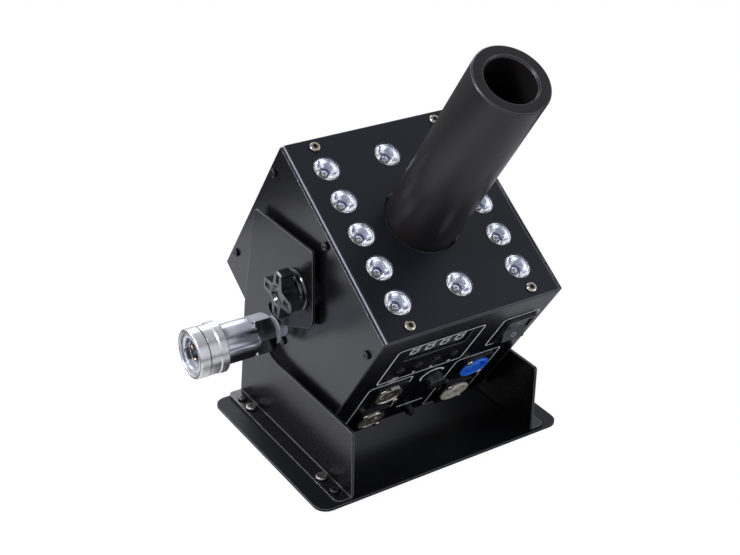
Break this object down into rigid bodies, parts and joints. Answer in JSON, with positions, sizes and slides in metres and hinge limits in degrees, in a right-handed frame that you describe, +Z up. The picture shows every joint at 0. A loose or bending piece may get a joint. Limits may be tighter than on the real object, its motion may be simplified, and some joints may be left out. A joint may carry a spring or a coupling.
{
  "type": "led carbon dioxide jet machine",
  "caption": "Stage effect machine: a gas nozzle with lamps round it on a box that tilts between two sheet arms, fed through a side coupler and set from a front panel.",
  "frame": {"origin": "on the floor, under the middle of the base plate", "axes": "+Z up, -X towards the gas inlet and its coupler (left when facing the control panel), -Y towards the side that the control panel and the tilted nozzle face; the head is at the tilt of the picture"},
  "size_m": [0.258, 0.2642, 0.3364],
  "materials": {
    "black_plate": "satin powder coat",
    "black_arms": "satin powder coat",
    "shell_black": "satin powder coat",
    "lamp_plate_black": "satin powder coat",
    "black_screw": "black oxide",
    "nickel_screw": "nickel plate",
    "foot_rubber": "matt rubber",
    "washer_black": "dense fibre washer",
    "plated_steel": "zinc plate",
    "knob_plastic": "moulded, glossy",
    "nozzle_black": "turned nylon, satin",
    "brass": "turned",
    "coil_plastic": "moulded",
    "chrome": "bright nickel-chrome plate",
    "poppet_steel": "turned",
    "lamp_board_white": "white solder mask on an aluminium core",
    "emitter_yellow": "phosphor and silicone",
    "lens_clear": "clear moulded acrylic",
    "segment_pale": "diffusing epoxy",
    "board_green": "solder mask on glass-epoxy",
    "button_black": "moulded",
    "flange_black": "moulded, satin",
    "socket_nickel": "nickel plate",
    "inlet_blue": "moulded",
    "outlet_ivory": "moulded",
    "fuse_glass": "glass tube",
    "supply_aluminium": "pressed sheet"
  },
  "bodies": {
    "base": {"base_plate": "black_plate", "rubber_feet": "foot_rubber", "stand_screws": "black_screw", "arm_left": "black_arms", "arm_right": "black_arms", "flange_bolts": "nickel_screw"},
    "head": {"wrap_shell": "shell_black", "side_cover_left": "shell_black", "side_cover_right": "shell_black", "side_cover_screws": "black_screw", "lamp_plate": "lamp_plate_black", "lamp_plate_screws": "nickel_screw", "pivot_washers": "washer_black", "pivot_nuts": "plated_steel", "nozzle_tube": "nozzle_black", "nozzle_bridge": "plated_steel", "jet": "brass", "riser_pipe": "brass", "hex_nuts": "brass", "valve_body": "brass", "valve_coil": "coil_plastic", "valve_bracket": "plated_steel", "inlet_nipple": "chrome", "coupler_body": "chrome", "retaining_ring": "plated_steel", "locking_balls": "chrome", "coupler_seal": "foot_rubber", "lamp_board": "lamp_board_white", "lamp_emitters": "emitter_yellow", "lens_holders": "lamp_board_white", "lenses": "lens_clear", "board_posts": "plated_steel", "display_module": "coil_plastic", "display_segments": "segment_pale", "control_board": "board_green", "button_switches": "coil_plastic", "connector_flanges": "flange_black", "connector_screws": "nickel_screw", "socket_shells": "socket_nickel", "socket_inserts": "flange_black", "socket_pins": "socket_nickel", "power_inlet": "inlet_blue", "power_outlet": "outlet_ivory", "fuse_holder": "flange_black", "fuse": "fuse_glass", "switch_bezel": "flange_black", "ground_stud": "black_screw", "power_supply": "supply_aluminium"},
    "knob_left": {"tilt_knob_left": "knob_plastic"},
    "knob_right": {"tilt_knob_right": "knob_plastic"},
    "coupler_sleeve": {"coupler_sleeve": "chrome"},
    "coupler_poppet": {"coupler_poppet": "poppet_steel"},
    "switch_rocker": {"switch_rocker": "flange_black"},
    "menu_button_1": {"menu_button_1": "button_black"},
    "menu_button_2": {"menu_button_2": "button_black"},
    "menu_button_3": {"menu_button_3": "button_black"},
    "menu_button_4": {"menu_button_4": "button_black"},
    "socket_latch": {"socket_latch": "socket_nickel"},
    "fuse_cap": {"fuse_cap": "flange_black"}
  },
  "joints": [
    {"name": "head_tilt", "type": "hinge", "parent": "base", "child": "head", "pos_m": [0, -0.007, 0.14101], "axis": [1, 0, 0], "range_deg": [-124, 0]},
    {"name": "knob_left_turn", "type": "hinge", "parent": "head", "child": "knob_left", "pos_m": [-0.09, -0.007, 0.14101], "axis": [-1, 0, 0], "range_deg": [0, 180]},
    {"name": "knob_right_turn", "type": "hinge", "parent": "head", "child": "knob_right", "pos_m": [0.09, -0.007, 0.14101], "axis": [1, 0, 0], "range_deg": [0, 180]},
    {"name": "coupler_sleeve_slide", "type": "slide", "parent": "head", "child": "coupler_sleeve", "axis": [1, 0, 0], "range_m": [0, 0.005], "stiffness_N_per_m": 2500, "springref_m": -0.002},
    {"name": "coupler_poppet_slide", "type": "slide", "parent": "head", "child": "coupler_poppet", "axis": [1, 0, 0], "range_m": [0, 0.004], "stiffness_N_per_m": 1500, "springref_m": -0.002},
    {"name": "power_switch_rock", "type": "hinge", "parent": "head", "child": "switch_rocker", "pos_m": [0.055, -0.0781, 0.10873], "axis": [1, 0, 0], "range_deg": [0, 22]},
    {"name": "menu_button_1_press", "type": "slide", "parent": "head", "child": "menu_button_1", "axis": [0, 0.829, 0.5592], "range_m": [0, 0.0006], "stiffness_N_per_m": 1200, "springref_m": -0.0005},
    {"name": "menu_button_2_press", "type": "slide", "parent": "head", "child": "menu_button_2", "axis": [0, 0.829, 0.5592], "range_m": [0, 0.0006], "stiffness_N_per_m": 1200, "springref_m": -0.0005},
    {"name": "menu_button_3_press", "type": "slide", "parent": "head", "child": "menu_button_3", "axis": [0, 0.829, 0.5592], "range_m": [0, 0.0006], "stiffness_N_per_m": 1200, "springref_m": -0.0005},
    {"name": "menu_button_4_press", "type": "slide", "parent": "head", "child": "menu_button_4", "axis": [0, 0.829, 0.5592], "range_m": [0, 0.0006], "stiffness_N_per_m": 1200, "springref_m": -0.0005},
    {"name": "socket_latch_press", "type": "slide", "parent": "head", "child": "socket_latch", "axis": [0, 0.829, 0.5592], "range_m": [0, 0.0012], "stiffness_N_per_m": 1500, "springref_m": -0.001},
    {"name": "fuse_cap_turn", "type": "hinge", "parent": "head", "child": "fuse_cap", "pos_m": [0.003, -0.0557, 0.06835], "axis": [0, -0.829, -0.5592], "range_deg": [0, 60]}
  ]
}
